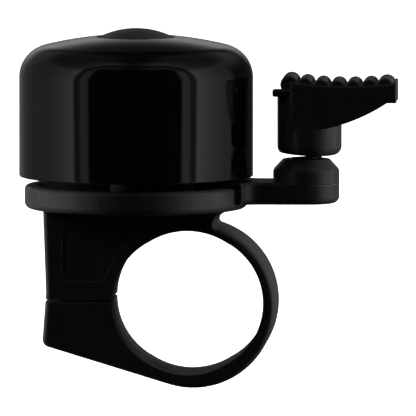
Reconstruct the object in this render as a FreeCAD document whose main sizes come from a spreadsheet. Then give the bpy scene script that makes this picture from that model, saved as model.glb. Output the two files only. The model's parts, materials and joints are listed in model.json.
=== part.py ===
"""Bicycle bell: a 36 mm dome on a split handlebar clamp, rung by a thumb lever on a coil-spring neck.

Frame: origin at the middle of the handlebar bore, +Y along the handlebar, +Z up towards the dome,
+X from the clamp screw towards the thumb lever.  Lengths are in millimetres.
"""
import FreeCAD, Part
import math
import os

import Sketcher
from FreeCAD import Rotation, Vector

os.makedirs("parts", exist_ok=True)
doc = FreeCAD.newDocument("bicycle_bell")

# Driving dimensions: one spreadsheet cell each.
SIZES = {
    # handlebar bore: a true grip arc above and below, eased out a little to both sides
    "grip_radius": 11.1,
    "ease_radius": 10.6,
    "ease_shift": 1.0,
    # clamp moulding
    "clamp_half_width": 7.5,
    "band_radius": 12.6,
    "band_shift": 0.8,
    "band_drop": 0.5,
    "block_left": 22.25,
    "waist_left": 21.8,
    "waist_high": 1.5,
    "throat_left": 4.2,
    "throat_foot": 11.63,
    "throat_right": 6.0,
    "throat_radius": 2.6,
    "jaw_left": 22.4,
    "jaw_bottom": 6.6,
    "tangent_left": 2.876,
    "tangent_bottom": 12.554,
    "split_bottom": 0.05,
    "split_gap": 0.45,
    "jaw_corner": 1.2,
    "throat_crease": 0.6,
    "clamp_edge": 0.8,
    # shallow panel in both faces of the block
    "panel_left": 19.2,
    "panel_right": 7.85,
    "panel_low": 3.25,
    "panel_high": 11.7,
    "panel_foot": 12.8,
    "panel_shoulder": 10.6,
    "panel_arc": 13.2,
    "panel_depth": 0.5,
    "panel_corner": 1.0,
    # clamp screw
    "clamp_screw_left": 17.0,
    "clamp_seat": 4.9,
    "clamp_nut_low": 5.5,
    "clamp_screw_length": 14.3,
    # bell axis and dome
    "bell_left": 8.3,
    "dome_radius": 18.0,
    "dome_wall": 0.9,
    "dome_rim": 19.0,
    "dome_corner": 38.086,
    "dome_shoulder": 5.0,
    "dome_crown": 60.0,
    "crown_edge": 40.554,
    "recess_radius": 5.95,
    "recess_lip": 0.6,
    "recess_floor": 38.2,
    "rim_edge": 0.25,
    # cap over the dome screw
    "cap_radius": 5.85,
    "cap_low": 39.3,
    "cap_edge": 40.38,
    "cap_top": 41.8,
    "cap_flat": 0.5,
    "cap_crown": 12.8,
    "cap_skirt_radius": 4.6,
    "cap_skirt_inner": 3.75,
    "cap_skirt_low": 38.75,
    "cap_roof": 41.05,
    # fasteners, metric M3 with running clearance
    "dome_screw_length": 29.1,
    "slack": 0.05,
    "overcut": 1.0,
    "shank_radius": 1.45,
    "hole_radius": 1.55,
    "passage_radius": 1.7,
    "head_radius": 2.75,
    "head_height": 1.5,
    "drive_width": 0.75,
    "drive_reach": 1.88,
    "drive_depth": 0.8,
    "nut_flat": 2.75,
    "nut_height": 2.4,
    "washer_radius": 3.4,
    "washer_height": 0.5,
    "spring_washer_radius": 2.8,
    "spring_washer_height": 0.55,
    "seat_washer_radius": 4.8,
    "seat_washer_height": 0.8,
    "pillar_radius": 3.2,
    "pillar_foot": 19.2,
    "base_nut_low": 10.15,
    # base plate: disc and arm
    "disc_radius": 17.15,
    "disc_low": 14.1,
    "disc_high": 17.7,
    "disc_floor": 15.6,
    "disc_lip": 15.4,
    "disc_low_edge": 1.0,
    "disc_high_edge": 0.6,
    "boss_radius": 4.0,
    "arm_low": 14.95,
    "arm_high": 18.4,
    "arm_half_width": 5.1,
    "arm_high_edge": 0.5,
    "arm_low_edge": 1.1,
    "flare_radius": 3.2,
    "flare_start": 8.3,
    "flare_half_width": 7.3,
    "flare_end": 11.3,
    "arm_root": 1.0,
    # striker neck
    "neck_right": 17.9,
    "collar_radius": 5.1,
    "collar_low": 18.0,
    "collar_floor": 18.45,
    "collar_shoulder": 20.2,
    "collar_high": 21.8,
    "collar_edge": 0.3,
    "collar_mouth": 3.6,
    "collar_round": 1.0,
    "collar_foot": 0.15,
    "seat_radius": 5.2,
    "spring_pocket": 2.65,
    "spring_radius": 2.05,
    "wire_radius": 0.4,
    "spring_low": 18.9,
    "spring_length": 6.6,
    "spring_pitch": 1.1,
    "collar_screw_seat": 16.5,
    "collar_screw_length": 3.85,
    # thumb lever
    "cup_right": 18.4,
    "cup_radius": 4.95,
    "cup_low": 22.37,
    "cup_low_edge": 1.4,
    "cup_high_edge": 0.5,
    "cup_relief": 4.1,
    "cup_relief_depth": 0.9,
    "cup_roof": 26.2,
    "nose_high": 32.3,
    "post_radius": 1.4,
    "post_low": 23.6,
    "lever_half_width": 4.9,
    "lever_left": 15.1,
    "lever_heel": 16.1,
    "lever_heel_high": 27.9,
    "lever_low": 26.65,
    "lever_flat_end": 20.8,
    "lever_toe": 30.5,
    "lever_right": 31.85,
    "lip_low": 30.7,
    "deck_left_high": 34.1,
    "deck_right_high": 33.9,
    "deck_saddle": 55.0,
    "deck_edge": 0.5,
    "belly_radius": 27.6,
    "heel_radius": 1.0,
    "lever_corner": 1.2,
    "rib_radius": 1.2,
    "rib_outer_radius": 1.4,
    "rib_first": 15.5,
    "rib_pitch": 2.45,
    "rib_sink": 0.35,
    "rib_half_length": 4.65,
    "rib_end": 0.35,
    # hammer pin
    "pin_radius": 0.62,
    "pin_left": 12.9,
    "pin_length": 4.6,
    "pin_front": 4.15,
    "pin_high": 32.2,
    "pin_tip": 0.3,
}
RIB_COUNT = 7
FULL_TURN = 360.0

sheet = doc.addObject("Spreadsheet::Sheet", "Sizes")
for row, (alias, size) in enumerate(SIZES.items(), start=1):
    sheet.set(f"A{row}", alias)
    sheet.set(f"B{row}", str(size))
    sheet.setAlias(f"B{row}", alias)
doc.recompute()


def value(text):
    """Work out a sum such as "dome_rim - 2*dome_wall" from the sheet's sizes."""
    total = 0.0
    sign = 1.0
    for word in text.split():
        if word in ("+", "-"):
            sign = 1.0 if word == "+" else -1.0
            continue
        term = sign
        for factor in word.split("*"):
            term *= sheet.get(factor) if factor in SIZES else float(factor)
        total += term
    return total


def bound(text):
    """Write the same sum as an expression on the sheet's cells."""
    words = []
    for word in text.split():
        factors = [f"Sizes.{factor}" if factor in SIZES else factor for factor in word.split("*")]
        words.append(" * ".join(factors))
    return " ".join(words)


def bind(item, **fields):
    """Bind each named property of an object to the sheet."""
    for field, text in fields.items():
        item.setExpression(field, bound(text))


def place(item, right="0", back="0", up="0", rotation=None):
    """Set an object's place, with each coordinate bound to the sheet."""
    turn = rotation or Rotation()
    item.Placement = FreeCAD.Placement(Vector(value(right), value(back), value(up)), turn)
    for axis, text in (("x", right), ("y", back), ("z", up)):
        if text != "0":
            item.setExpression(f"Placement.Base.{axis}", bound(text))
    return item


ALONG_Y = Rotation(Vector(1, 0, 0), -90)
ALONG_X = Rotation(Vector(0, 1, 0), 90)


def cylinder(name, radius, height, right="0", back="0", up="0", rotation=None):
    item = doc.addObject("Part::Cylinder", name)
    bind(item, Radius=radius, Height=height)
    return place(item, right, back, up, rotation)


def box(name, length, width, height, right="0", back="0", up="0"):
    item = doc.addObject("Part::Box", name)
    bind(item, Length=length, Width=width, Height=height)
    return place(item, right, back, up)


def fuse(name, *items):
    item = doc.addObject("Part::MultiFuse", name)
    item.Shapes = list(items)
    return item


def cut(name, base, tool):
    item = doc.addObject("Part::Cut", name)
    item.Base = base
    item.Tool = tool
    return item


def origin_plane(body, role):
    return next(feature for feature in body.Origin.OriginFeatures if feature.Role == role)


def arc_between(start, end, radius):
    """Arc from start to end; a positive radius turns left, a negative one right."""
    chord = end - start
    rise = math.sqrt(radius * radius - chord.Length ** 2 / 4.0)
    left = Vector(-chord.y, chord.x, 0).normalize()
    centre = (start + end) * 0.5 + left * math.copysign(rise, radius)
    first, last = (start, end) if radius > 0 else (end, start)
    angles = [math.atan2(point.y - centre.y, point.x - centre.x) for point in (first, last)]
    return Part.ArcOfCircle(Part.Circle(centre, Vector(0, 0, 1), abs(radius)), *angles)


def outline(body, name, role, corners):
    """Closed sketch through corners (across, up[, arc size of the edge that leaves it, turn])."""
    sketch = body.newObject("Sketcher::SketchObject", name)
    sketch.AttachmentSupport = (origin_plane(body, role), [""])
    sketch.MapMode = "FlatFace"
    points = [Vector(value(corner[0]), value(corner[1]), 0) for corner in corners]
    tails = []
    heads = []
    for index, corner in enumerate(corners):
        start = points[index]
        end = points[(index + 1) % len(points)]
        if len(corner) == 2:
            edge = sketch.addGeometry(Part.LineSegment(start, end), False)
            tails.append((edge, 1))
            heads.append((edge, 2))
            continue
        left_turn = corner[3] == "left"
        radius = value(corner[2])
        edge = sketch.addGeometry(arc_between(start, end, radius if left_turn else -radius), False)
        tails.append((edge, 1 if left_turn else 2))
        heads.append((edge, 2 if left_turn else 1))
        rule = sketch.addConstraint(Sketcher.Constraint("Radius", edge, radius))
        sketch.setExpression(f"Constraints[{rule}]", bound(corner[2]))
    for index, corner in enumerate(corners):
        sketch.addConstraint(Sketcher.Constraint("Coincident", *heads[index - 1], *tails[index]))
        for kind, text, axis in (("DistanceX", corner[0], -2), ("DistanceY", corner[1], -1)):
            if abs(value(text)) < 1e-9:
                sketch.addConstraint(Sketcher.Constraint("PointOnObject", *tails[index], axis))
                continue
            rule = sketch.addConstraint(Sketcher.Constraint(kind, -1, 1, *tails[index], value(text)))
            sketch.setExpression(f"Constraints[{rule}]", bound(text))
    return sketch


def turned(name, corners, right="0"):
    """Body of revolution about its own upright axis; corners are (radius, height)."""
    body = doc.addObject("PartDesign::Body", name)
    place(body, right)
    sketch = outline(body, name + "_section", "XZ_Plane", corners)
    spin = body.newObject("PartDesign::Revolution", name + "_spin")
    spin.Profile = sketch
    spin.ReferenceAxis = (sketch, ["V_Axis"])
    spin.Angle = FULL_TURN
    return body


def padded(name, role, corners, length, right="0", back="0", up="0"):
    """Body padded equally to both sides of one of its origin planes."""
    body = doc.addObject("PartDesign::Body", name)
    place(body, right, back, up)
    sketch = outline(body, name + "_section", role, corners)
    pad = body.newObject("PartDesign::Pad", name + "_pad")
    pad.Profile = sketch
    pad.SideType = "Symmetric"
    bind(pad, Length=length)
    return body


def rounded(body, name, radius, wanted):
    """Fillet the body's edges that the test accepts."""
    doc.recompute()
    tip = body.Tip
    names = [f"Edge{index + 1}" for index, edge in enumerate(tip.Shape.Edges) if wanted(edge)]
    if not names:
        raise RuntimeError(f"{name}: no edge to round")
    item = body.newObject("PartDesign::Fillet", name)
    item.Base = (tip, names)
    bind(item, Radius=radius)
    doc.recompute()
    return body


def is_circle(edge, radius, height):
    """True for a level circular edge of this radius at this height."""
    curve = edge.Curve
    return (isinstance(curve, Part.Circle) and abs(curve.Radius - value(radius)) < 0.01
            and abs(curve.Center.z - value(height)) < 0.05)


def is_upright(edge):
    return isinstance(edge.Curve, Part.Line) and abs(edge.tangentAt(edge.FirstParameter).z) > 0.98


def middle(edge):
    return edge.valueAt((edge.FirstParameter + edge.LastParameter) / 2.0)


nodes = []


def keep(item, label):
    """Name a finished sub-part and list it for export."""
    item.Label = label
    nodes.append(item)


def ring(label, radius, bore, low, height, right):
    """Flat round piece with a hole: a washer or a tube."""
    outer = cylinder(label + "_outer", radius, height, right, up=low)
    inner = cylinder(label + "_bore", bore, height, right, up=low)
    return cut(label + "_cut", outer, inner)


def screw(label, right, seat, length, head_up):
    """Cross-head screw; its head stands on the seat and its shank runs from there."""
    head_low = seat if head_up else seat + " - head_height"
    shank_low = f"{seat} - {length}" if head_up else seat
    drive_low = seat + " + head_height - drive_depth" if head_up else head_low
    head = cylinder(label + "_head", "head_radius", "head_height", right, up=head_low)
    shank = cylinder(label + "_shank", "shank_radius", length, right, up=shank_low)
    slot_x = box(label + "_slot_x", "2*drive_reach", "drive_width", "drive_depth",
                 right + " - drive_reach", "-0.5*drive_width", drive_low)
    slot_y = box(label + "_slot_y", "drive_width", "2*drive_reach", "drive_depth",
                 right + " - 0.5*drive_width", "-1*drive_reach", drive_low)
    return cut(label + "_cut", fuse(label + "_blank", head, shank), fuse(label + "_cross", slot_x, slot_y))


def hex_nut(label, right, low):
    """Hexagon nut with two flats facing along X."""
    prism = doc.addObject("Part::Prism", label + "_prism")
    prism.Polygon = 6
    corner_share = 2.0 / math.sqrt(3.0)
    bind(prism, Circumradius=f"{corner_share:.4f}*nut_flat", Height="nut_height")
    place(prism, right, up=low, rotation=Rotation(Vector(0, 0, 1), 30))
    return cut(label + "_cut", prism, cylinder(label + "_bore", "hole_radius", "nut_height", right, up=low))


BELL = "-1*bell_left"
CLAMP_SCREW = "-1*clamp_screw_left"


def bell_dome():
    dome = turned("dome", [
        ("dome_radius", "dome_rim"),
        ("dome_radius", "dome_corner", "dome_crown", "left"),
        ("recess_radius", "crown_edge"),
        ("recess_radius", "recess_floor"),
        ("hole_radius", "recess_floor"),
        ("hole_radius", "recess_floor - dome_wall"),
        ("recess_radius + dome_wall", "recess_floor - dome_wall"),
        ("recess_radius + dome_wall", "crown_edge - dome_wall", "dome_crown - dome_wall", "right"),
        ("dome_radius - dome_wall", "dome_corner - dome_wall"),
        ("dome_radius - dome_wall", "dome_rim"),
    ], BELL)
    rounded(dome, "dome_outer_shoulder", "dome_shoulder",
            lambda edge: is_circle(edge, "dome_radius", "dome_corner"))
    rounded(dome, "dome_inner_shoulder", "dome_shoulder - dome_wall",
            lambda edge: is_circle(edge, "dome_radius - dome_wall", "dome_corner - dome_wall"))
    rounded(dome, "dome_rim_edges", "rim_edge",
            lambda edge: abs(middle(edge).z - value("dome_rim")) < 0.01)
    rounded(dome, "dome_recess_lip", "recess_lip", lambda edge: is_circle(edge, "recess_radius", "crown_edge"))
    keep(dome, "bell_dome")


def dome_cap():
    cap = turned("cap", [
        ("cap_radius", "cap_low"),
        ("cap_radius", "cap_edge", "cap_crown", "left"),
        ("cap_flat", "cap_top"),
        ("0", "cap_top"),
        ("0", "cap_roof"),
        ("cap_skirt_inner", "cap_roof"),
        ("cap_skirt_inner", "cap_skirt_low"),
        ("cap_skirt_radius", "cap_skirt_low"),
        ("cap_skirt_radius", "cap_low"),
    ], BELL)
    keep(cap, "dome_cap")


def dome_stack():
    """Screw, washers, pillar and nut that hold the dome, base plate and clamp together."""
    keep(ring("flat_washer", "washer_radius", "hole_radius", "recess_floor", "washer_height", BELL),
         "dome_washer")
    split_ring = ring("lock_washer", "spring_washer_radius", "hole_radius",
                      "recess_floor + washer_height", "spring_washer_height", BELL)
    gap = box("lock_washer_gap", "spring_washer_radius", "drive_width", "spring_washer_height",
              BELL, "-0.5*drive_width", "recess_floor + washer_height")
    keep(cut("lock_washer_split", split_ring, gap), "dome_spring_washer")
    keep(screw("long_screw", BELL, "recess_floor + washer_height + spring_washer_height",
               "dome_screw_length", True), "dome_screw")
    keep(ring("nylon_seat", "seat_washer_radius", "hole_radius",
              "recess_floor - dome_wall - seat_washer_height", "seat_washer_height", BELL),
         "dome_seat_washer")
    keep(ring("pillar", "pillar_radius", "hole_radius", "pillar_foot",
              "recess_floor - dome_wall - seat_washer_height - pillar_foot", BELL), "dome_pillar")
    keep(hex_nut("lower_nut", BELL, "base_nut_low"), "base_nut")


def base_plate():
    disc = turned("disc", [
        ("hole_radius", "disc_low"),
        ("disc_radius", "disc_low"),
        ("disc_radius", "disc_high"),
        ("disc_lip", "disc_high"),
        ("disc_lip", "disc_floor"),
        ("boss_radius", "disc_floor"),
        ("boss_radius", "pillar_foot"),
        ("hole_radius", "pillar_foot"),
    ], BELL)
    rounded(disc, "disc_lower_edge", "disc_low_edge", lambda edge: is_circle(edge, "disc_radius", "disc_low"))
    rounded(disc, "disc_upper_edge", "disc_high_edge", lambda edge: is_circle(edge, "disc_radius", "disc_high"))
    arm = padded("arm", "XY_Plane", [
        ("arm_root", "-1*flare_half_width"),
        ("flare_start", "-1*flare_half_width", "flare_radius", "right"),
        ("flare_end", "-1*arm_half_width"),
        ("neck_right", "-1*arm_half_width", "arm_half_width", "left"),
        ("neck_right + arm_half_width", "0", "arm_half_width", "left"),
        ("neck_right", "arm_half_width"),
        ("flare_end", "arm_half_width", "flare_radius", "right"),
        ("flare_start", "flare_half_width"),
        ("arm_root", "flare_half_width"),
    ], "arm_high - arm_low", up="0.5*arm_high + 0.5*arm_low")
    half_arm = value("0.5*arm_high - 0.5*arm_low")
    for name, level in (("high", half_arm), ("low", -half_arm)):
        rounded(arm, f"arm_{name}_edges", f"arm_{name}_edge",
                lambda edge: abs(middle(edge).z - level) < 0.01 and middle(edge).x > value("arm_root") + 0.1)
    seat = cylinder("collar_seat", "seat_radius", "arm_high", "neck_right", up="collar_low")
    passage = cylinder("collar_passage", "hole_radius", "arm_high", "neck_right", up="arm_low - overcut")
    well = cylinder("collar_screw_well", "head_radius + 4*slack", "collar_screw_seat - arm_low + overcut",
                    "neck_right", up="arm_low - overcut")
    keep(cut("base_plate_cut", fuse("base_plate_blank", disc, arm),
             fuse("base_plate_tools", seat, passage, well)), "base_plate")


def clamp_band():
    block = padded("block", "XZ_Plane", [
        ("-1*block_left", "disc_low"),
        ("-1*waist_left", "waist_high"),
        ("-1*jaw_left", "-1*jaw_bottom"),
        ("-1*tangent_left", "-1*tangent_bottom", "band_radius", "left"),
        ("band_shift + band_radius", "-1*band_drop", "band_radius", "left"),
        ("throat_left", "throat_foot", "throat_radius", "right"),
        ("throat_right", "disc_low"),
    ], "2*clamp_half_width")
    for name, right, up in (("jaw_corner", "-1*jaw_left", "-1*jaw_bottom"),
                            ("throat_crease", "throat_left", "throat_foot")):
        rounded(block, f"{name}_round", name,
                lambda edge: math.dist((middle(edge).x, middle(edge).z), (value(right), value(up))) < 0.05)
    face = value("clamp_half_width")
    rounded(block, "clamp_edges", "clamp_edge", lambda edge: abs(abs(middle(edge).y) - face) < 0.01
            and middle(edge).z < value("disc_low") - 0.01)
    depth = "2*clamp_half_width + 2*overcut"
    front = "-1*clamp_half_width - overcut"
    bores = [cylinder("grip_bore", "grip_radius", depth, "0", front, "0", ALONG_Y)]
    for side, sign in (("left", "-1"), ("right", "1")):
        bores.append(cylinder(f"ease_bore_{side}", "ease_radius", depth, f"{sign}*ease_shift", front,
                              "0", ALONG_Y))
    split = box("split", "jaw_left - ease_radius + 2*overcut", depth, "split_gap",
                "-1*jaw_left - overcut", front, "split_bottom")
    screw_way = cylinder("screw_way", "passage_radius", "jaw_bottom + disc_low", CLAMP_SCREW,
                         up="-1*jaw_bottom")
    screw_well = cylinder("screw_well", "head_radius + 7*slack", "tangent_bottom - clamp_seat", CLAMP_SCREW,
                          up="-1*tangent_bottom")
    nut_slot = box("nut_slot", "2*nut_flat + 2*slack", "clamp_half_width + nut_flat + overcut",
                   "nut_height + 2*slack", f"{CLAMP_SCREW} - nut_flat - slack", "-1*nut_flat - 10*slack",
                   "clamp_nut_low - slack")
    bell_way = cylinder("bell_screw_way", "passage_radius", "disc_low - base_nut_low", BELL,
                        up="base_nut_low")
    bell_slot = box("bell_nut_slot", "2*nut_flat + 2*slack", "clamp_half_width + nut_flat + overcut",
                    "nut_height + 2*slack", f"{BELL} - nut_flat - slack", "-1*nut_flat - 10*slack",
                    "base_nut_low - slack")
    panels = []
    for side, sign in (("front", "-1"), ("back", "1")):
        panels.append(padded(f"panel_{side}", "XZ_Plane", [
            ("-1*panel_left", "panel_high"),
            ("-1*panel_left", "panel_low"),
            ("-1*panel_foot", "panel_low", "panel_arc", "right"),
            ("-1*panel_right", "panel_shoulder"),
            ("-1*panel_right", "panel_high"),
        ], "2*panel_depth", back=f"{sign}*clamp_half_width"))
        rounded(panels[-1], f"panel_{side}_corners", "panel_corner",
                lambda edge: isinstance(edge.Curve, Part.Line) and abs(edge.tangentAt(0).y) > 0.9
                and abs(middle(edge).z - value("panel_shoulder")) > 0.1)
    tools = fuse("clamp_tools", *bores, split, screw_way, screw_well, nut_slot, bell_way, bell_slot, *panels)
    keep(cut("clamp_cut", block, tools), "clamp_band")


def clamp_fasteners():
    keep(ring("clamp_flat", "head_radius + 4*slack", "hole_radius", "-1*clamp_seat - washer_height",
              "washer_height", CLAMP_SCREW), "clamp_washer")
    keep(screw("short_screw", CLAMP_SCREW, "-1*clamp_seat - washer_height", "clamp_screw_length", False),
         "clamp_screw")
    keep(hex_nut("upper_nut", CLAMP_SCREW, "clamp_nut_low"), "clamp_nut")


def striker_neck():
    collar = turned("collar", [
        ("hole_radius", "collar_low"),
        ("collar_radius", "collar_low"),
        ("collar_radius", "collar_shoulder"),
        ("collar_mouth", "collar_high"),
        ("spring_pocket", "collar_high"),
        ("spring_pocket", "collar_floor"),
        ("hole_radius", "collar_floor"),
    ], "neck_right")
    rounded(collar, "collar_mouth_edge", "collar_edge",
            lambda edge: is_circle(edge, "collar_mouth", "collar_high"))
    rounded(collar, "collar_shoulder_edge", "collar_round",
            lambda edge: is_circle(edge, "collar_radius", "collar_shoulder"))
    rounded(collar, "collar_foot_edge", "collar_foot",
            lambda edge: is_circle(edge, "collar_radius", "collar_low"))
    keep(collar, "spring_collar")
    keep(screw("neck_screw", "neck_right", "collar_screw_seat", "collar_screw_length", False), "collar_screw")
    helix = doc.addObject("Part::Helix", "spring_path")
    bind(helix, Pitch="spring_pitch", Height="spring_length", Radius="spring_radius")
    wire = doc.addObject("Part::Circle", "spring_wire")
    bind(wire, Radius="wire_radius")
    wire.Placement = FreeCAD.Placement(Vector(value("spring_radius"), 0, 0), Rotation(Vector(1, 0, 0), 90))
    wire.setExpression("Placement.Base.x", bound("spring_radius"))
    coil = doc.addObject("Part::Sweep", "spring_coil")
    coil.Sections = [wire]
    coil.Spine = (helix, ["Edge1"])
    coil.Solid = True
    coil.Frenet = True
    place(coil, "neck_right", "0", "spring_low")
    keep(coil, "striker_spring")


def thumb_lever():
    cup = turned("cup", [
        ("0", "cup_low"),
        ("cup_radius", "cup_low"),
        ("cup_radius", "nose_high"),
        ("0", "nose_high"),
    ], "cup_right")
    rounded(cup, "cup_foot", "cup_low_edge", lambda edge: is_circle(edge, "cup_radius", "cup_low"))
    rounded(cup, "cup_nose", "cup_high_edge", lambda edge: is_circle(edge, "cup_radius", "nose_high"))
    paddle = padded("paddle", "XZ_Plane", [
        ("lever_left", "deck_left_high"),
        ("lever_left", "lever_heel_high", "heel_radius", "left"),
        ("lever_heel", "lever_low"),
        ("lever_flat_end", "lever_low", "belly_radius", "left"),
        ("lever_toe", "lip_low"),
        ("lever_right", "lip_low"),
        ("lever_right", "deck_right_high", "deck_saddle", "right"),
    ], "2*lever_half_width")
    rounded(paddle, "paddle_corners", "lever_corner",
            lambda edge: is_upright(edge) and middle(edge).x < value("lever_left") + 0.1)
    deck_low = value("deck_right_high") - 1.0
    rounded(paddle, "deck_edges", "deck_edge", lambda edge: middle(edge).z > deck_low
            and abs(abs(middle(edge).y) - value("lever_half_width")) < 0.01)
    ribs = [rib(number) for number in range(RIB_COUNT)]
    pocket = cylinder("cup_pocket", "spring_pocket + slack", "cup_roof - cup_low + overcut", "neck_right",
                      up="cup_low - overcut")
    relief = cylinder("cup_mouth_relief", "cup_relief", "cup_relief_depth + overcut", "neck_right",
                      up="cup_low - overcut")
    post = cylinder("cup_post", "post_radius", "cup_roof - post_low", "neck_right", up="post_low")
    pin_way = cylinder("pin_way", "pin_radius + 0.4*slack", "pin_length", "pin_left", "-1*pin_front", "pin_high",
                       ALONG_X)
    shell = cut("lever_shell", fuse("lever_blank", cup, paddle, *ribs),
                fuse("lever_tools", pocket, relief, pin_way))
    keep(fuse("lever_with_post", shell, post), "thumb_lever")


def rib(number):
    """One rounded grip rib across the lever, set on the saddle of its deck."""
    right = f"rib_first + {number}*rib_pitch"
    radius = "rib_outer_radius" if number in (0, RIB_COUNT - 1) else "rib_radius"
    half_span = value("0.5*lever_right - 0.5*lever_left")
    mid_right = value("0.5*lever_right + 0.5*lever_left")
    mid_high = value("0.5*deck_left_high + 0.5*deck_right_high")
    tilt = value("deck_left_high - deck_right_high") / (2.0 * half_span)
    saddle = value("deck_saddle")
    offset = value(right) - mid_right
    sag = math.sqrt(saddle ** 2 - offset ** 2) - math.sqrt(saddle ** 2 - half_span ** 2)
    high = mid_high - tilt * offset - sag - value(f"rib_sink + {radius} - rib_radius")
    bar = doc.addObject("Part::Cylinder", f"rib_bar_{number}")
    bind(bar, Radius=radius, Height="2*rib_half_length")
    place(bar, right, "-1*rib_half_length", f"{high:.3f}", ALONG_Y)
    doc.recompute()
    rim_edges = [index + 1 for index, edge in enumerate(bar.Shape.Edges) if isinstance(edge.Curve, Part.Circle)]
    item = doc.addObject("Part::Fillet", f"rib_{number}")
    item.Base = bar
    item.Edges = [(index, value("rib_end"), value("rib_end")) for index in rim_edges]
    return item


def hammer_pin():
    bar = cylinder("pin_bar", "pin_radius", "pin_length", "pin_left", "-1*pin_front", "pin_high", ALONG_X)
    doc.recompute()
    tip = [index + 1 for index, edge in enumerate(bar.Shape.Edges)
           if isinstance(edge.Curve, Part.Circle) and middle(edge).x < value("pin_left") + 0.1]
    item = doc.addObject("Part::Fillet", "pin_rounded")
    item.Base = bar
    item.Edges = [(index, value("pin_tip"), value("pin_tip")) for index in tip]
    keep(item, "hammer_pin")


for build in (bell_dome, dome_cap, dome_stack, base_plate, clamp_band, clamp_fasteners, striker_neck,
              thumb_lever, hammer_pin):
    build()
doc.recompute()

for item in doc.Objects:
    if "Invalid" in item.State or "Error" in item.State:
        raise RuntimeError(f"{item.Name} failed: {item.State}")
for item in nodes:
    if item.Shape.isNull() or not item.Shape.isValid():
        raise RuntimeError(f"{item.Label} has no valid shape")
for item in nodes:
    item.Shape.exportStep(f"parts/{item.Label}.step")
    extent = item.Shape.BoundBox
    print(f"{item.Label}: {len(item.Shape.Solids)} solid, {item.Shape.Volume:.1f} mm3, x {extent.XMin:.2f} to "
          f"{extent.XMax:.2f}, y {extent.YMin:.2f} to {extent.YMax:.2f}, z {extent.ZMin:.2f} to {extent.ZMax:.2f}")
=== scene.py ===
"""Looks of the bicycle bell: gloss dome, satin plastic clamp and striker, plated hardware, soft studio."""

import json
import math

import bmesh
import bpy
from bpy.props import FloatProperty, FloatVectorProperty, IntProperty, PointerProperty
from mathutils import Matrix, Vector


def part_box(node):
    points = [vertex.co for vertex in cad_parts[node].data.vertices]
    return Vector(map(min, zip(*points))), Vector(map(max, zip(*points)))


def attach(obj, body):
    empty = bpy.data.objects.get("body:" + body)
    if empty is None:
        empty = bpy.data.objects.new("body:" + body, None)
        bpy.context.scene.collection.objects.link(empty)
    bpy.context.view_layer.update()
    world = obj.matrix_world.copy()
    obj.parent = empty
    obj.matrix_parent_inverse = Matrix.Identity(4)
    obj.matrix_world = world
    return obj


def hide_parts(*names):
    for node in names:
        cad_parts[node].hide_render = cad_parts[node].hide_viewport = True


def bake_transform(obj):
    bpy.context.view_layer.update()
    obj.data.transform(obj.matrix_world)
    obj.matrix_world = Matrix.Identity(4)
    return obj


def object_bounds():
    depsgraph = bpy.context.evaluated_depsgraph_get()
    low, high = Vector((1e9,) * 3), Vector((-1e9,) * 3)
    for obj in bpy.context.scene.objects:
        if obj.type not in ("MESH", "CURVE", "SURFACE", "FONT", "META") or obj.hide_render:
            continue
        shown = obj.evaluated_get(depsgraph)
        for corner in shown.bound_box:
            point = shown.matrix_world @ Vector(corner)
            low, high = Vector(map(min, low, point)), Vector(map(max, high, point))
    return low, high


bl_info = {
    "name": "Bicycle bell",
    "version": (1, 0, 0),
    "blender": (4, 5, 0),
    "location": "View3D > Sidebar > Bicycle bell",
    "description": "Builds the bicycle bell's visible pieces, finishes and studio on its packed frame",
    "category": "Object",
}

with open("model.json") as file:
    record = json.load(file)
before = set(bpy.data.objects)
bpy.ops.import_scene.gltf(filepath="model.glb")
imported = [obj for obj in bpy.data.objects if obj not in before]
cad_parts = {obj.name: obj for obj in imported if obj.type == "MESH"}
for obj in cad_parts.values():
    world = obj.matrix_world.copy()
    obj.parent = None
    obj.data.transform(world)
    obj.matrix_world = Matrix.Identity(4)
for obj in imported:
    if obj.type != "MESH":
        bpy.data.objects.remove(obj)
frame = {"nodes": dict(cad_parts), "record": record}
CAD_LOW, CAD_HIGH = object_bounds()
MM = 0.001
FULL_TURN = 2.0 * math.pi
DEGREES = 180.0 / math.pi
# Dark opening in front of the bell between the soft boxes, in degrees seen from the bell.
FRONT_HALF = 48.0
FRONT_SHIFT = 2.0
FRONT_TOP = 50.0
FRONT_CORNER = 12.0
FLOOR_HALF = 6.0
FLOOR_DROP = 12.0 * MM


def middle(node):
    """Centre of a CAD node's box."""
    low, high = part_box(node)
    return (Vector(low) + Vector(high)) / 2.0


DOME_LOW, DOME_HIGH = (Vector(corner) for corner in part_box("bell_dome"))
CAP_LOW, CAP_HIGH = (Vector(corner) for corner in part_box("dome_cap"))
COIL_LOW, COIL_HIGH = (Vector(corner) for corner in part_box("striker_spring"))
BELL_AXIS = middle("bell_dome").x
NECK_AXIS = middle("striker_spring").x
NECK_PIVOT = frame["record"]["behaviour"]["joints"][0]["pos_m"][2]


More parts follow.
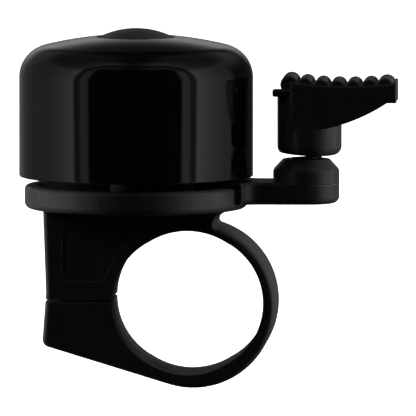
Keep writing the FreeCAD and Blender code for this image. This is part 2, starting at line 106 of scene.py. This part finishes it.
class BellSizes(bpy.types.PropertyGroup):
    """Sizes of the turned pieces."""

    turn_steps: IntProperty(
        name="Turn steps", description="Steps round each turned piece",
        default=256, min=32)
    dome_radius: FloatProperty(
        name="Dome radius", description="Outer radius of the dome's wall",
        default=(DOME_HIGH.x - DOME_LOW.x) / 2.0, unit="LENGTH")
    dome_wall: FloatProperty(
        name="Dome wall", description="Thickness of the dome's steel", default=0.9 * MM, unit="LENGTH")
    shoulder: FloatProperty(
        name="Shoulder", description="Radius where the wall turns into the crown",
        default=5.0 * MM, unit="LENGTH")
    crown: FloatProperty(
        name="Crown", description="Radius of the dome's slightly domed top",
        default=60.0 * MM, unit="LENGTH")
    recess: FloatProperty(
        name="Recess", description="Radius of the recess that takes the cap",
        default=5.95 * MM, unit="LENGTH")
    recess_lip: FloatProperty(
        name="Recess lip", description="Rounding where the crown turns into the recess", default=0.6 * MM,
        unit="LENGTH")
    recess_floor: FloatProperty(
        name="Recess floor", description="Height of the recess's floor over the bar's axis",
        default=38.2 * MM, unit="LENGTH")
    screw_hole: FloatProperty(
        name="Screw hole", description="Radius of the dome's centre hole",
        default=1.55 * MM, unit="LENGTH")
    cap_skirt: FloatProperty(
        name="Cap skirt", description="Drop of the cap's skirt below its edge",
        default=0.55 * MM, unit="LENGTH")
    cap_edge: FloatProperty(
        name="Cap edge", description="Height of the cap's upright edge", default=1.08 * MM, unit="LENGTH")
    cap_wall: FloatProperty(
        name="Cap wall", description="Thickness of the cap's top", default=0.75 * MM, unit="LENGTH")
    skirt_outer: FloatProperty(
        name="Skirt outside", description="Outer radius of the cap's skirt",
        default=4.6 * MM, unit="LENGTH")
    skirt_inner: FloatProperty(
        name="Skirt inside", description="Inner radius of the cap's skirt",
        default=3.75 * MM, unit="LENGTH")
    wire: FloatProperty(
        name="Wire", description="Radius of the spring's wire", default=0.4 * MM, unit="LENGTH")
    coil_pitch: FloatProperty(
        name="Coil pitch", description="Rise of the spring in one turn", default=1.1 * MM, unit="LENGTH")
    coil_held: FloatProperty(
        name="Held length", description="Length of spring held still at each end",
        default=1.4 * MM, unit="LENGTH")
    coil_steps: IntProperty(
        name="Coil steps", description="Steps in each turn of the spring",
        default=48, min=12)
    wire_sides: IntProperty(
        name="Wire sides", description="Sides round the spring's wire",
        default=16, min=6)
    rim_round: FloatProperty(
        name="Rim round", description="Rounding of the dome's rim", default=0.25 * MM, unit="LENGTH")


class BellFinishes(bpy.types.PropertyGroup):
    """Colours and finishes."""

    paint: FloatVectorProperty(
        name="Paint", description="Colour of the dome's gloss paint", subtype="COLOR", size=3,
        default=(0.0003, 0.0003, 0.00032), min=0.0, max=1.0)
    plastic: FloatVectorProperty(
        name="Plastic", description="Colour of the black moulded plastic", subtype="COLOR", size=3,
        default=(0.026, 0.026, 0.027), min=0.0, max=1.0)
    zinc: FloatVectorProperty(
        name="Zinc", description="Colour of the plated screws and nuts", subtype="COLOR", size=3,
        default=(0.56, 0.57, 0.6), min=0.0, max=1.0)
    black_steel: FloatVectorProperty(
        name="Black steel", description="Colour of the spring and hammer pin", subtype="COLOR", size=3,
        default=(0.06, 0.06, 0.065), min=0.0, max=1.0)
    nylon: FloatVectorProperty(
        name="Nylon", description="Colour of the dome's seat washer", subtype="COLOR", size=3,
        default=(0.7, 0.68, 0.62), min=0.0, max=1.0)


# --- shader helpers -------------------------------------------------------------------------------

def new_group(name, inputs, outputs):
    """Shader node group with float inputs (name, default) and named outputs (name, kind)."""
    group = bpy.data.node_groups.new(name, "ShaderNodeTree")
    for label, default in inputs:
        socket = group.interface.new_socket(name=label, in_out="INPUT", socket_type="NodeSocketFloat")
        socket.default_value = default
    for label, kind in outputs:
        group.interface.new_socket(name=label, in_out="OUTPUT", socket_type=kind)
    return group, group.nodes.new("NodeGroupInput"), group.nodes.new("NodeGroupOutput")


def wire(tree, source, target, socket=0):
    """Plug a socket, or set a number, into a node's numbered or named input."""
    if hasattr(source, "is_output"):
        tree.links.new(source, target.inputs[socket])
    else:
        target.inputs[socket].default_value = source


def calc(tree, operation, *values, clamp=False):
    """Math node; values are sockets or numbers."""
    node = tree.nodes.new("ShaderNodeMath")
    node.operation = operation
    node.use_clamp = clamp
    for socket, source in enumerate(values):
        wire(tree, source, node, socket)
    return node.outputs[0]


def smooth_step(tree, source, low, high, start=0.0, end=1.0):
    """Smoothly map low..high of a socket to start..end."""
    node = tree.nodes.new("ShaderNodeMapRange")
    node.interpolation_type = "SMOOTHSTEP"
    for socket, item in enumerate((source, low, high, start, end)):
        wire(tree, item, node, socket)
    return node.outputs[0]


def noise(tree, vector, scale, detail=2.0, roughness=0.5):
    node = tree.nodes.new("ShaderNodeTexNoise")
    tree.links.new(vector, node.inputs["Vector"])
    wire(tree, scale, node, "Scale")
    wire(tree, detail, node, "Detail")
    wire(tree, roughness, node, "Roughness")
    return node.outputs[0]


def object_coordinates(tree):
    return tree.nodes.new("ShaderNodeTexCoord").outputs["Object"]


def grain_group():
    """Fine surface grain: a height for bump and a slow mask for gloss and colour."""
    group, given, result = new_group("surface_grain",
                                     [("Grain per metre", 6000.0), ("Blotch per metre", 160.0)],
                                     [("Height", "NodeSocketFloat"), ("Blotch", "NodeSocketFloat")])
    place = object_coordinates(group)
    fine = noise(group, place, given.outputs[0], 3.0, 0.6)
    slow = noise(group, place, given.outputs[1], 4.0, 0.55)
    group.links.new(fine, result.inputs["Height"])
    group.links.new(slow, result.inputs["Blotch"])
    return group


def scuff_group():
    """Sparse thin scuffs: a mask that is one on a scuff."""
    group, given, result = new_group("handling_scuffs", [("Scuffs per metre", 900.0), ("Thinness", 0.985)],
                                     [("Scuff", "NodeSocketFloat")])
    place = object_coordinates(group)
    turn = group.nodes.new("ShaderNodeMapping")
    turn.inputs["Rotation"].default_value = (0.3, 0.5, 0.9)
    turn.inputs["Scale"].default_value = (1.0, 0.12, 1.0)
    group.links.new(place, turn.inputs["Vector"])
    streak = noise(group, turn.outputs[0], given.outputs[0], 2.0, 0.5)
    ridge = calc(group, "SUBTRACT", 1.0, calc(group, "MULTIPLY", calc(group, "ABSOLUTE",
                 calc(group, "SUBTRACT", streak, 0.5)), 4.0))
    patch = noise(group, place, 210.0, 2.0, 0.5)
    mask = calc(group, "MULTIPLY", smooth_step(group, ridge, given.outputs[1], 1.0),
                smooth_step(group, patch, 0.52, 0.66))
    group.links.new(mask, result.inputs["Scuff"])
    return group


def mould_line_group():
    """Fine raised seam that a two-part mould leaves round a piece, on the plane across the bar's axis."""
    group, given, result = new_group("mould_line", [("Place", 0.0), ("Half width", 0.05 * MM)],
                                     [("Line", "NodeSocketFloat")])
    split = group.nodes.new("ShaderNodeSeparateXYZ")
    group.links.new(object_coordinates(group), split.inputs[0])
    away = calc(group, "ABSOLUTE", calc(group, "SUBTRACT", split.outputs["Y"], given.outputs[0]))
    line = smooth_step(group, calc(group, "DIVIDE", away, given.outputs[1]), 0.6, 1.6, 1.0, 0.0)
    group.links.new(line, result.inputs["Line"])
    return group


def edge_highlight_and_wear_group():
    """Rubbed corners and painted edge highlights: a mask that rises where the surface turns sharply, broken
    up by slow patches.
    """
    group, given, result = new_group("edge_highlight_and_wear", [("Width", 0.3 * MM), ("Patches per metre", 500.0)],
                                     [("Highlight and wear", "NodeSocketFloat")])
    rounded = group.nodes.new("ShaderNodeBevel")
    rounded.samples = 6
    group.links.new(given.outputs[0], rounded.inputs["Radius"])
    turned_by = group.nodes.new("ShaderNodeVectorMath")
    turned_by.operation = "DOT_PRODUCT"
    group.links.new(rounded.outputs[0], turned_by.inputs[0])
    group.links.new(group.nodes.new("ShaderNodeNewGeometry").outputs["Normal"], turned_by.inputs[1])
    corner = smooth_step(group, turned_by.outputs["Value"], 0.72, 0.995, 1.0, 0.0)
    patch = noise(group, object_coordinates(group), given.outputs[1], 3.0, 0.5)
    group.links.new(calc(group, "MULTIPLY", corner, smooth_step(group, patch, 0.3, 0.65, 0.45, 1.0)),
                    result.inputs["Highlight and wear"])
    return group


def shared_group(name):
    """Build a shared effect the first time it is asked for."""
    makers = {"surface_grain": grain_group, "handling_scuffs": scuff_group, "mould_line": mould_line_group,
              "edge_highlight_and_wear": edge_highlight_and_wear_group}
    return bpy.data.node_groups.get(name) or makers[name]()


def use_group(tree, name, **given):
    node = tree.nodes.new("ShaderNodeGroup")
    node.node_tree = shared_group(name)
    for label, number in given.items():
        node.inputs[label.replace("_", " ")].default_value = number
    return node


def new_material(name, base, roughness, metallic=0.0):
    """Empty material with a Principled shader whose plain values are set."""
    material = bpy.data.materials.new(name)
    material.use_nodes = True
    tree = material.node_tree
    shader = tree.nodes["Principled BSDF"]
    shader.inputs["Base Color"].default_value = (*base, 1.0)
    shader.inputs["Roughness"].default_value = roughness
    shader.inputs["Metallic"].default_value = metallic
    return material, tree, shader


def vary_colour(tree, shader, mask, low, high):
    """Base colour that drifts between two colours with a mask."""
    mix = tree.nodes.new("ShaderNodeMix")
    mix.data_type = "RGBA"
    tree.links.new(mask, mix.inputs["Factor"])
    mix.inputs[6].default_value = (*low, 1.0)
    mix.inputs[7].default_value = (*high, 1.0)
    tree.links.new(mix.outputs[2], shader.inputs["Base Color"])


def bump(tree, shader, height, strength, distance):
    node = tree.nodes.new("ShaderNodeBump")
    node.inputs["Strength"].default_value = strength
    node.inputs["Distance"].default_value = distance
    tree.links.new(height, node.inputs["Height"])
    tree.links.new(node.outputs[0], shader.inputs["Normal"])


def lighter(colour, share):
    """The colour moved towards white by a share."""
    return tuple(part + (1.0 - part) * share for part in colour)


def gloss_paint():
    """Sprayed gloss enamel with a trace of orange peel."""
    base = tuple(bpy.context.scene.bell_finishes.paint)
    material, tree, shader = new_material("gloss_black_paint", base, 0.04)
    shader.inputs["IOR"].default_value = 1.5
    grain = use_group(tree, "surface_grain", Grain_per_metre=700.0, Blotch_per_metre=90.0)
    scuff = use_group(tree, "handling_scuffs", Scuffs_per_metre=700.0, Thinness=0.992)
    vary_colour(tree, shader, grain.outputs["Blotch"], base, lighter(base, 0.001))
    wear_and_edge_highlight = calc(tree, "MULTIPLY", scuff.outputs["Scuff"], 0.12)
    haze = smooth_step(tree, grain.outputs["Blotch"], 0.35, 0.7, 0.03, 0.055)
    tree.links.new(calc(tree, "ADD", haze, wear_and_edge_highlight), shader.inputs["Roughness"])
    bump(tree, shader, grain.outputs["Height"], 0.05, 0.01 * MM)
    return material


def moulded_plastic(name, roughness, seam=False):
    """Satin black plastic with a fine mould texture, duller at low angles, its edges lightened in colour as
    a painted highlight.
    """
    base = tuple(bpy.context.scene.bell_finishes.plastic)
    material, tree, shader = new_material(name, base, roughness)
    shader.inputs["Specular IOR Level"].default_value = 0.35
    grain = use_group(tree, "surface_grain", Grain_per_metre=5200.0, Blotch_per_metre=320.0)
    scuff = use_group(tree, "handling_scuffs", Scuffs_per_metre=1100.0, Thinness=0.985)
    # Edge mask that lightens the base colour on corners: a painted highlight for the light that rounded
    # edges catch, not rubbing.
    wear_and_edge_highlight = use_group(tree, "edge_highlight_and_wear", Width=0.35 * MM, Patches_per_metre=500.0)
    # Colour tone: random blotches of the grain plus the painted edge highlight.
    tone = calc(tree, "ADD", calc(tree, "MULTIPLY", grain.outputs["Blotch"], 0.05), wear_and_edge_highlight.outputs["Highlight and wear"])
    vary_colour(tree, shader, tone, base, lighter(base, 0.12))
    satin = smooth_step(tree, grain.outputs["Blotch"], 0.3, 0.7, roughness - 0.04, roughness + 0.06)
    rubbed = calc(tree, "MULTIPLY", scuff.outputs["Scuff"], -0.06)
    facing = tree.nodes.new("ShaderNodeLayerWeight")
    facing.inputs["Blend"].default_value = 0.5
    dull = smooth_step(tree, facing.outputs["Facing"], 0.72, 0.98, 0.0, 0.4)
    tree.links.new(calc(tree, "ADD", calc(tree, "ADD", satin, rubbed), dull), shader.inputs["Roughness"])
    height = grain.outputs["Height"]
    if seam:
        line = use_group(tree, "mould_line")
        height = calc(tree, "ADD", height, calc(tree, "MULTIPLY", line.outputs["Line"], -6.0))
    bump(tree, shader, height, 0.35, 0.02 * MM)
    return material


def plated_steel(name, colour, roughness, bare=0.03):
    """Plated or oiled steel with a fine drawn grain, rubbed towards bare metal on its corners."""
    material, tree, shader = new_material(name, colour, roughness, metallic=1.0)
    grain = use_group(tree, "surface_grain", Grain_per_metre=14000.0, Blotch_per_metre=500.0)
    wear_and_edge_highlight = use_group(tree, "edge_highlight_and_wear", Width=0.15 * MM, Patches_per_metre=900.0)
    tone = calc(tree, "ADD", calc(tree, "MULTIPLY", grain.outputs["Blotch"], 0.2), wear_and_edge_highlight.outputs["Highlight and wear"])
    vary_colour(tree, shader, tone, tuple(part * 0.8 for part in colour), lighter(colour, bare))
    tree.links.new(smooth_step(tree, grain.outputs["Blotch"], 0.3, 0.7, roughness - 0.05, roughness + 0.08),
                   shader.inputs["Roughness"])
    bump(tree, shader, grain.outputs["Height"], 0.2, 0.01 * MM)
    return material


def nylon():
    base = tuple(bpy.context.scene.bell_finishes.nylon)
    material, tree, shader = new_material("nylon_washer", base, 0.5)
    grain = use_group(tree, "surface_grain", Grain_per_metre=8000.0, Blotch_per_metre=400.0)
    vary_colour(tree, shader, grain.outputs["Blotch"], tuple(part * 0.92 for part in base), base)
    shader.inputs["Subsurface Weight"].default_value = 0.1
    bump(tree, shader, grain.outputs["Height"], 0.2, 0.01 * MM)
    return material


def finish_node(node, material):
    """Give a CAD node its material."""
    slots = frame["nodes"][node].data.materials
    slots.clear()
    slots.append(material)


# --- mesh helpers ---------------------------------------------------------------------------------

def arc(across, up, radius, start, end, count):
    """Points along an arc in a section; angles in degrees, counted from outwards to up."""
    angles = [math.radians(start + (end - start) * step / count) for step in range(count + 1)]
    return [(across + radius * math.cos(angle), up + radius * math.sin(angle)) for angle in angles]


def turned(name, section, axis, material, body, node):
    """Spin a section of (radius, height) points round an upright axis and ride it on its body."""
    steps = bpy.context.scene.bell_sizes.turn_steps
    bm = bmesh.new()
    points = [bm.verts.new((axis + radius, 0.0, height)) for radius, height in section]
    edges = [bm.edges.new(pair) for pair in zip(points, points[1:])]
    bmesh.ops.spin(bm, geom=points + edges, cent=(axis, 0.0, 0.0), axis=(0.0, 0.0, 1.0),
                   dvec=(0.0, 0.0, 0.0), angle=FULL_TURN, steps=steps, use_merge=True)
    bmesh.ops.remove_doubles(bm, verts=bm.verts, dist=1e-7)
    bmesh.ops.recalc_face_normals(bm, faces=bm.faces)
    for face in bm.faces:
        face.smooth = True
    mesh = bpy.data.meshes.new(name)
    bm.to_mesh(mesh)
    bm.free()
    mesh.set_sharp_from_angle(angle=math.radians(40.0))
    mesh.materials.append(material)
    item = bpy.data.objects.new(name, mesh)
    bpy.context.scene.collection.objects.link(item)
    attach(item, body)
    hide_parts(node)
    return item


# --- operators ------------------------------------------------------------------------------------

class BELL_OT_dome(bpy.types.Operator):
    """Turn the gloss dome with its rounded shoulder, crown, centre recess and rim"""

    bl_idname = "bell.dome"
    bl_label = "Dome"

    def execute(self, context):
        sizes = context.scene.bell_sizes
        wall = sizes.dome_wall
        lip = sizes.recess_lip
        lip_across = sizes.recess + lip
        lip_reach = sizes.crown - lip
        lip_up = DOME_HIGH.z - lip
        crown_centre = lip_up - math.sqrt(lip_reach ** 2 - lip_across ** 2)
        lip_lean = math.degrees(math.acos(lip_across / lip_reach))
        shoulder_across = sizes.dome_radius - sizes.shoulder
        reach = sizes.crown - sizes.shoulder
        shoulder_up = crown_centre + math.sqrt(reach ** 2 - shoulder_across ** 2)
        lean = math.degrees(math.acos(shoulder_across / reach))
        rim_up = DOME_LOW.z + sizes.rim_round
        inner_crown = sizes.crown - wall
        dish_across = sizes.recess + wall
        dish_lean = math.degrees(math.acos(dish_across / inner_crown))
        floor_up = sizes.recess_floor
        outer = arc(sizes.dome_radius - sizes.rim_round, rim_up, sizes.rim_round, -90.0, 0.0, 4)
        outer += arc(shoulder_across, shoulder_up, sizes.shoulder, 0.0, lean, 32)
        outer += arc(0.0, crown_centre, sizes.crown, lean, lip_lean, 16)[1:]
        outer += arc(lip_across, lip_up, lip, lip_lean, 180.0, 14)[1:]
        dish = [(sizes.recess, floor_up), (sizes.screw_hole, floor_up), (sizes.screw_hole, floor_up - wall),
                (dish_across, floor_up - wall)]
        inner = arc(0.0, crown_centre, inner_crown, dish_lean, lean, 12)
        inner += arc(shoulder_across, shoulder_up, sizes.shoulder - wall, lean, 0.0, 24)[1:]
        inner += arc(sizes.dome_radius - wall + sizes.rim_round, rim_up, sizes.rim_round, 180.0, 270.0, 4)
        section = outer + dish + inner
        turned("dome_shell", section + section[:1], BELL_AXIS, gloss_paint(), "bell_body", "bell_dome")
        return {"FINISHED"}


class BELL_OT_cap(bpy.types.Operator):
    """Turn the low satin button over the dome screw"""

    bl_idname = "bell.cap"
    bl_label = "Cap"

    def execute(self, context):
        sizes = context.scene.bell_sizes
        radius = (CAP_HIGH.x - CAP_LOW.x) / 2.0
        low = CAP_LOW.z + sizes.cap_skirt
        edge = low + sizes.cap_edge
        rise = CAP_HIGH.z - edge
        crown = (radius ** 2 + rise ** 2) / (2.0 * rise)
        centre = CAP_HIGH.z - crown
        start = math.degrees(math.asin((edge - centre) / crown))
        roof = CAP_HIGH.z - sizes.cap_wall
        section = [(sizes.skirt_outer, low), (radius, low)] + arc(0.0, centre, crown, start, 90.0, 24)
        section += [(0.0, roof), (sizes.skirt_inner, roof), (sizes.skirt_inner, CAP_LOW.z),
                    (sizes.skirt_outer, CAP_LOW.z)]
        turned("cap_button", section + section[:1], BELL_AXIS, moulded_plastic("cap_satin", 0.42),
               "bell_body", "dome_cap")
        return {"FINISHED"}


class BELL_OT_mouldings(bpy.types.Operator):
    """Finish the base plate, clamp, collar and thumb lever as satin black mouldings"""

    bl_idname = "bell.mouldings"
    bl_label = "Mouldings"

    def execute(self, context):
        finish_node("base_plate", moulded_plastic("base_satin", 0.27))
        finish_node("clamp_band", moulded_plastic("clamp_satin", 0.28, seam=True))
        finish_node("spring_collar", moulded_plastic("collar_satin", 0.28))
        finish_node("thumb_lever", moulded_plastic("lever_satin", 0.28))
        return {"FINISHED"}


class BELL_OT_spring(bpy.types.Operator):
    """Wind the neck spring in two halves that meet at the neck's pivot"""

    bl_idname = "bell.spring"
    bl_label = "Spring"

    def execute(self, context):
        sizes = context.scene.bell_sizes
        steel = plated_steel("spring_steel", tuple(context.scene.bell_finishes.black_steel), 0.28, 0.3)
        foot = COIL_LOW.z + sizes.wire
        head = COIL_HIGH.z - sizes.wire
        self.half("spring_coil_low", foot, foot, NECK_PIVOT, steel,
                  ("bell_body", "spring_neck"), (foot + sizes.coil_held, NECK_PIVOT))
        self.half("spring_coil_high", foot, NECK_PIVOT, head, steel,
                  ("spring_neck", "striker"), (NECK_PIVOT, head - sizes.coil_held))
        return {"FINISHED"}

    def half(self, name, foot, low, high, material, bodies, bend):
        """One half of the coil, from low to high, wound from the same foot so that the halves meet."""
        sizes = bpy.context.scene.bell_sizes
        radius = (COIL_HIGH.x - COIL_LOW.x) / 2.0 - sizes.wire
        start = FULL_TURN * (low - foot) / sizes.coil_pitch
        turn = FULL_TURN * (high - low) / sizes.coil_pitch
        steps = round(sizes.coil_steps * turn / FULL_TURN)
        upright = Matrix.Rotation(math.radians(90.0), 4, "X")
        place = (Matrix.Translation((NECK_AXIS, 0.0, low)) @ Matrix.Rotation(start, 4, "Z")
                 @ Matrix.Translation((radius, 0.0, 0.0)) @ upright)
        bm = bmesh.new()
        bmesh.ops.create_circle(bm, cap_ends=False, segments=sizes.wire_sides, radius=sizes.wire,
                                matrix=place)
        bmesh.ops.spin(bm, geom=bm.verts[:] + bm.edges[:], cent=(NECK_AXIS, 0.0, low), axis=(0.0, 0.0, 1.0),
                       dvec=(0.0, 0.0, (high - low) / steps), angle=turn, steps=steps, use_merge=False)
        bmesh.ops.holes_fill(bm, edges=[edge for edge in bm.edges if edge.is_boundary], sides=0)
        bmesh.ops.recalc_face_normals(bm, faces=bm.faces)
        for face in bm.faces:
            face.smooth = len(face.verts) == 4
        mesh = bpy.data.meshes.new(name)
        bm.to_mesh(mesh)
        bm.free()
        mesh.materials.append(material)
        item = bpy.data.objects.new(name, mesh)
        bpy.context.scene.collection.objects.link(item)
        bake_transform(item)
        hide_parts("striker_spring")


class BELL_OT_hardware(bpy.types.Operator):
    """Finish the screws, nuts, washers, pillar and hammer pin"""

    bl_idname = "bell.hardware"
    bl_label = "Hardware"

    def execute(self, context):
        finishes = context.scene.bell_finishes
        zinc = plated_steel("zinc_plate", tuple(finishes.zinc), 0.3)
        dark = plated_steel("blackened_steel", tuple(finishes.black_steel), 0.28, 0.5)
        for node in ("dome_screw", "dome_washer", "dome_spring_washer", "dome_pillar", "base_nut",
                     "clamp_screw", "clamp_washer", "clamp_nut", "collar_screw"):
            finish_node(node, zinc)
        finish_node("hammer_pin", dark)
        finish_node("dome_seat_washer", nylon())
        return {"FINISHED"}


class BELL_OT_studio(bpy.types.Operator):
    """Set the pale floor, the soft studio light and the camera"""

    bl_idname = "bell.studio"
    bl_label = "Studio"

    def execute(self, context):
        self.floor()
        self.surround(context.scene)
        self.lamps()
        self.camera(context.scene)
        return {"FINISHED"}

    def floor(self):
        bm = bmesh.new()
        bmesh.ops.create_grid(bm, x_segments=8, y_segments=8, size=FLOOR_HALF)
        bmesh.ops.translate(bm, verts=bm.verts, vec=(0.0, 0.0, CAD_LOW.z - FLOOR_DROP))
        mesh = bpy.data.meshes.new("floor")
        bm.to_mesh(mesh)
        bm.free()
        material, tree, shader = new_material("pale_floor", (0.9, 0.9, 0.9), 0.9)
        shader.inputs["Emission Color"].default_value = (1.0, 1.0, 1.0, 1.0)
        shader.inputs["Emission Strength"].default_value = 1.0
        mesh.materials.append(material)
        item = bpy.data.objects.new("floor", mesh)
        item.visible_glossy = False
        item.visible_diffuse = False
        bpy.context.scene.collection.objects.link(item)

    def surround(self, scene):
        """White to the camera; to reflections, tall soft boxes either side, dark in front and overhead."""
        world = bpy.data.worlds.new("studio")
        world.use_nodes = True
        scene.world = world
        tree = world.node_tree
        tree.nodes.clear()
        split = tree.nodes.new("ShaderNodeSeparateXYZ")
        tree.links.new(tree.nodes.new("ShaderNodeTexCoord").outputs["Generated"], split.inputs[0])
        across, depth, up = split.outputs
        ahead = calc(tree, "MULTIPLY", depth, -1.0)
        turn = calc(tree, "MULTIPLY", calc(tree, "ARCTAN2", across, ahead), DEGREES)
        around = calc(tree, "ABSOLUTE", turn)
        height = calc(tree, "MULTIPLY", calc(tree, "ARCSINE", up), DEGREES)
        off_front = calc(tree, "ABSOLUTE", calc(tree, "SUBTRACT", turn, FRONT_SHIFT))
        outside = [calc(tree, "MAXIMUM", calc(tree, "SUBTRACT", item, limit - FRONT_CORNER), 0.0)
                   for item, limit in ((off_front, FRONT_HALF), (height, FRONT_TOP))]
        squared = calc(tree, "ADD", *(calc(tree, "POWER", item, 2.0) for item in outside))
        from_front = calc(tree, "SUBTRACT", calc(tree, "SQRT", squared), FRONT_CORNER)
        boxes = self.ramp(tree, calc(tree, "ADD", from_front, FRONT_HALF), 180.0, [
            (0, 0.012), (46, 0.012), (49, 0.34), (55, 0.34), (57.5, 0.11), (62, 0.11), (65, 0.7),
            (80, 0.42), (100, 0.22), (124, 0.14), (138, 0.14), (149, 0.15), (157, 0.14), (166, 0.05),
            (180, 0.02)])
        rise = self.ramp(tree, calc(tree, "ADD", height, 90.0), 180.0, [
            (0, 0.1), (60, 0.5), (75, 1.0), (92, 1.0), (100, 0.95), (112, 0.9), (124, 0.95), (131, 0.48),
            (140, 0.36), (161, 0.4),
            (171, 0.12), (180, 0.12)])
        behind = calc(tree, "SUBTRACT", around, smooth_step(tree, turn, 0.0, 90.0, 0.0, 12.0))
        backdrop = smooth_step(tree, behind, 144.0, 168.0, 0.0, 1.0)
        gap = smooth_step(tree, calc(tree, "ABSOLUTE", across), 0.0, 0.28, 0.2, 1.0)
        dark_right = smooth_step(tree, turn, 108.0, 122.0, 0.0, 0.9)
        low_down = smooth_step(tree, height, 12.0, 35.0, 1.0, 0.0)
        shade = calc(tree, "SUBTRACT", 1.0, calc(tree, "MULTIPLY", dark_right, low_down))
        horizon = self.ramp(tree, calc(tree, "ADD", height, 90.0), 180.0, [
            (0, 0.03), (60, 0.05), (80, 0.08), (92, 0.13), (99, 0.36), (104, 0.42),
            (108, 0.2), (112, 0.06), (116, 0.02), (125, 0.0)])
        lean = smooth_step(tree, turn, -20.0, 20.0, 0.95, 1.2)
        light = calc(tree, "MULTIPLY", calc(tree, "MULTIPLY", boxes, rise), lean)
        light = calc(tree, "MULTIPLY", calc(tree, "MULTIPLY", light, gap), shade)
        light = calc(tree, "ADD", light, calc(tree, "MULTIPLY", backdrop, horizon))
        light = calc(tree, "ADD", light, smooth_step(tree, height, 50.0, 75.0, 0.0, 0.02))
        light = calc(tree, "ADD", light, 0.006)
        soft = tree.nodes.new("ShaderNodeBackground")
        soft.inputs["Color"].default_value = (1.0, 1.0, 1.0, 1.0)
        path = tree.nodes.new("ShaderNodeLightPath")
        reflected = calc(tree, "MULTIPLY", light, path.outputs["Is Glossy Ray"])
        tree.links.new(reflected, soft.inputs["Strength"])
        white = tree.nodes.new("ShaderNodeBackground")
        white.inputs["Color"].default_value = (1.0, 1.0, 1.0, 1.0)
        mix = tree.nodes.new("ShaderNodeMixShader")
        tree.links.new(path.outputs["Is Camera Ray"], mix.inputs[0])
        tree.links.new(soft.outputs[0], mix.inputs[1])
        tree.links.new(white.outputs[0], mix.inputs[2])
        tree.links.new(mix.outputs[0], tree.nodes.new("ShaderNodeOutputWorld").inputs["Surface"])

    def ramp(self, tree, source, span, stops):
        """Colour ramp from (angle in degrees, brightness) stops over a span of degrees."""
        node = tree.nodes.new("ShaderNodeValToRGB")
        elements = node.color_ramp.elements
        while len(elements) > 1:
            elements.remove(elements[-1])
        for index, (angle, level) in enumerate(stops):
            element = elements[0] if index == 0 else elements.new(angle / span)
            element.position = angle / span
            element.color = (level, level, level, 1.0)
        tree.links.new(calc(tree, "DIVIDE", source, span), node.inputs[0])
        return node.outputs[0]

    def lamps(self):
        """Broad soft lamps either side and overhead that light the plastic without showing in the gloss."""
        for name, place, power, size in (("left_soft", (-1.0, 0.25, 0.1), 27.0, 0.6),
                                         ("right_soft", (1.0, 0.25, 0.1), 27.0, 0.6),
                                         ("front_soft", (-0.5, -0.7, 0.5), 1.0, 0.6),
                                         ("top_soft", (0.2, 0.3, 0.9), 2.2, 0.8)):
            light = bpy.data.lights.new(name, "AREA")
            light.energy = power
            light.size = size
            item = bpy.data.objects.new(name, light)
            item.location = place
            item.rotation_euler = (-Vector(place)).to_track_quat("-Z", "Y").to_euler()
            item.visible_glossy = False
            bpy.context.scene.collection.objects.link(item)

    def camera(self, scene):
        """Long lens, a little above and to the right of square on."""
        azimuth = math.radians(3.0)
        elevation = math.radians(4.5)
        distance = 3.0
        field = 64.0 * MM
        aim = Vector((2.77 * MM, 0.0, 14.1 * MM))
        back = Vector((math.sin(azimuth) * math.cos(elevation), -math.cos(azimuth) * math.cos(elevation),
                       math.sin(elevation)))
        data = bpy.data.cameras.new("studio_camera")
        data.sensor_width = 36.0
        data.lens = data.sensor_width * distance / field
        data.clip_start = 0.01
        data.clip_end = 20.0
        item = bpy.data.objects.new("studio_camera", data)
        item.location = aim + back * distance
        item.rotation_mode = "QUATERNION"
        item.rotation_quaternion = (-back).to_track_quat("-Z", "Y")
        scene.collection.objects.link(item)
        scene.camera = item
        scene.view_settings.view_transform = "Standard"
        scene.view_settings.look = "None"


class BELL_PT_build(bpy.types.Panel):
    """Buttons that build the bell"""

    bl_idname = "BELL_PT_build"
    bl_label = "Bicycle bell"
    bl_space_type = "VIEW_3D"
    bl_region_type = "UI"
    bl_category = "Bicycle bell"

    def draw(self, context):
        for operator in OPERATORS:
            self.layout.operator(operator.bl_idname)


OPERATORS = (BELL_OT_dome, BELL_OT_cap, BELL_OT_mouldings, BELL_OT_spring, BELL_OT_hardware, BELL_OT_studio)
CLASSES = (BellSizes, BellFinishes, *OPERATORS, BELL_PT_build)


def register():
    for item in CLASSES:
        bpy.utils.register_class(item)
    bpy.types.Scene.bell_sizes = PointerProperty(type=BellSizes)
    bpy.types.Scene.bell_finishes = PointerProperty(type=BellFinishes)


def unregister():
    del bpy.types.Scene.bell_finishes
    del bpy.types.Scene.bell_sizes
    for item in reversed(CLASSES):
        bpy.utils.unregister_class(item)


def main():
    register()
    bpy.ops.bell.dome()
    bpy.ops.bell.cap()
    bpy.ops.bell.mouldings()
    bpy.ops.bell.spring()
    bpy.ops.bell.hardware()
    bpy.ops.bell.studio()


if __name__ == "__main__":
    main()
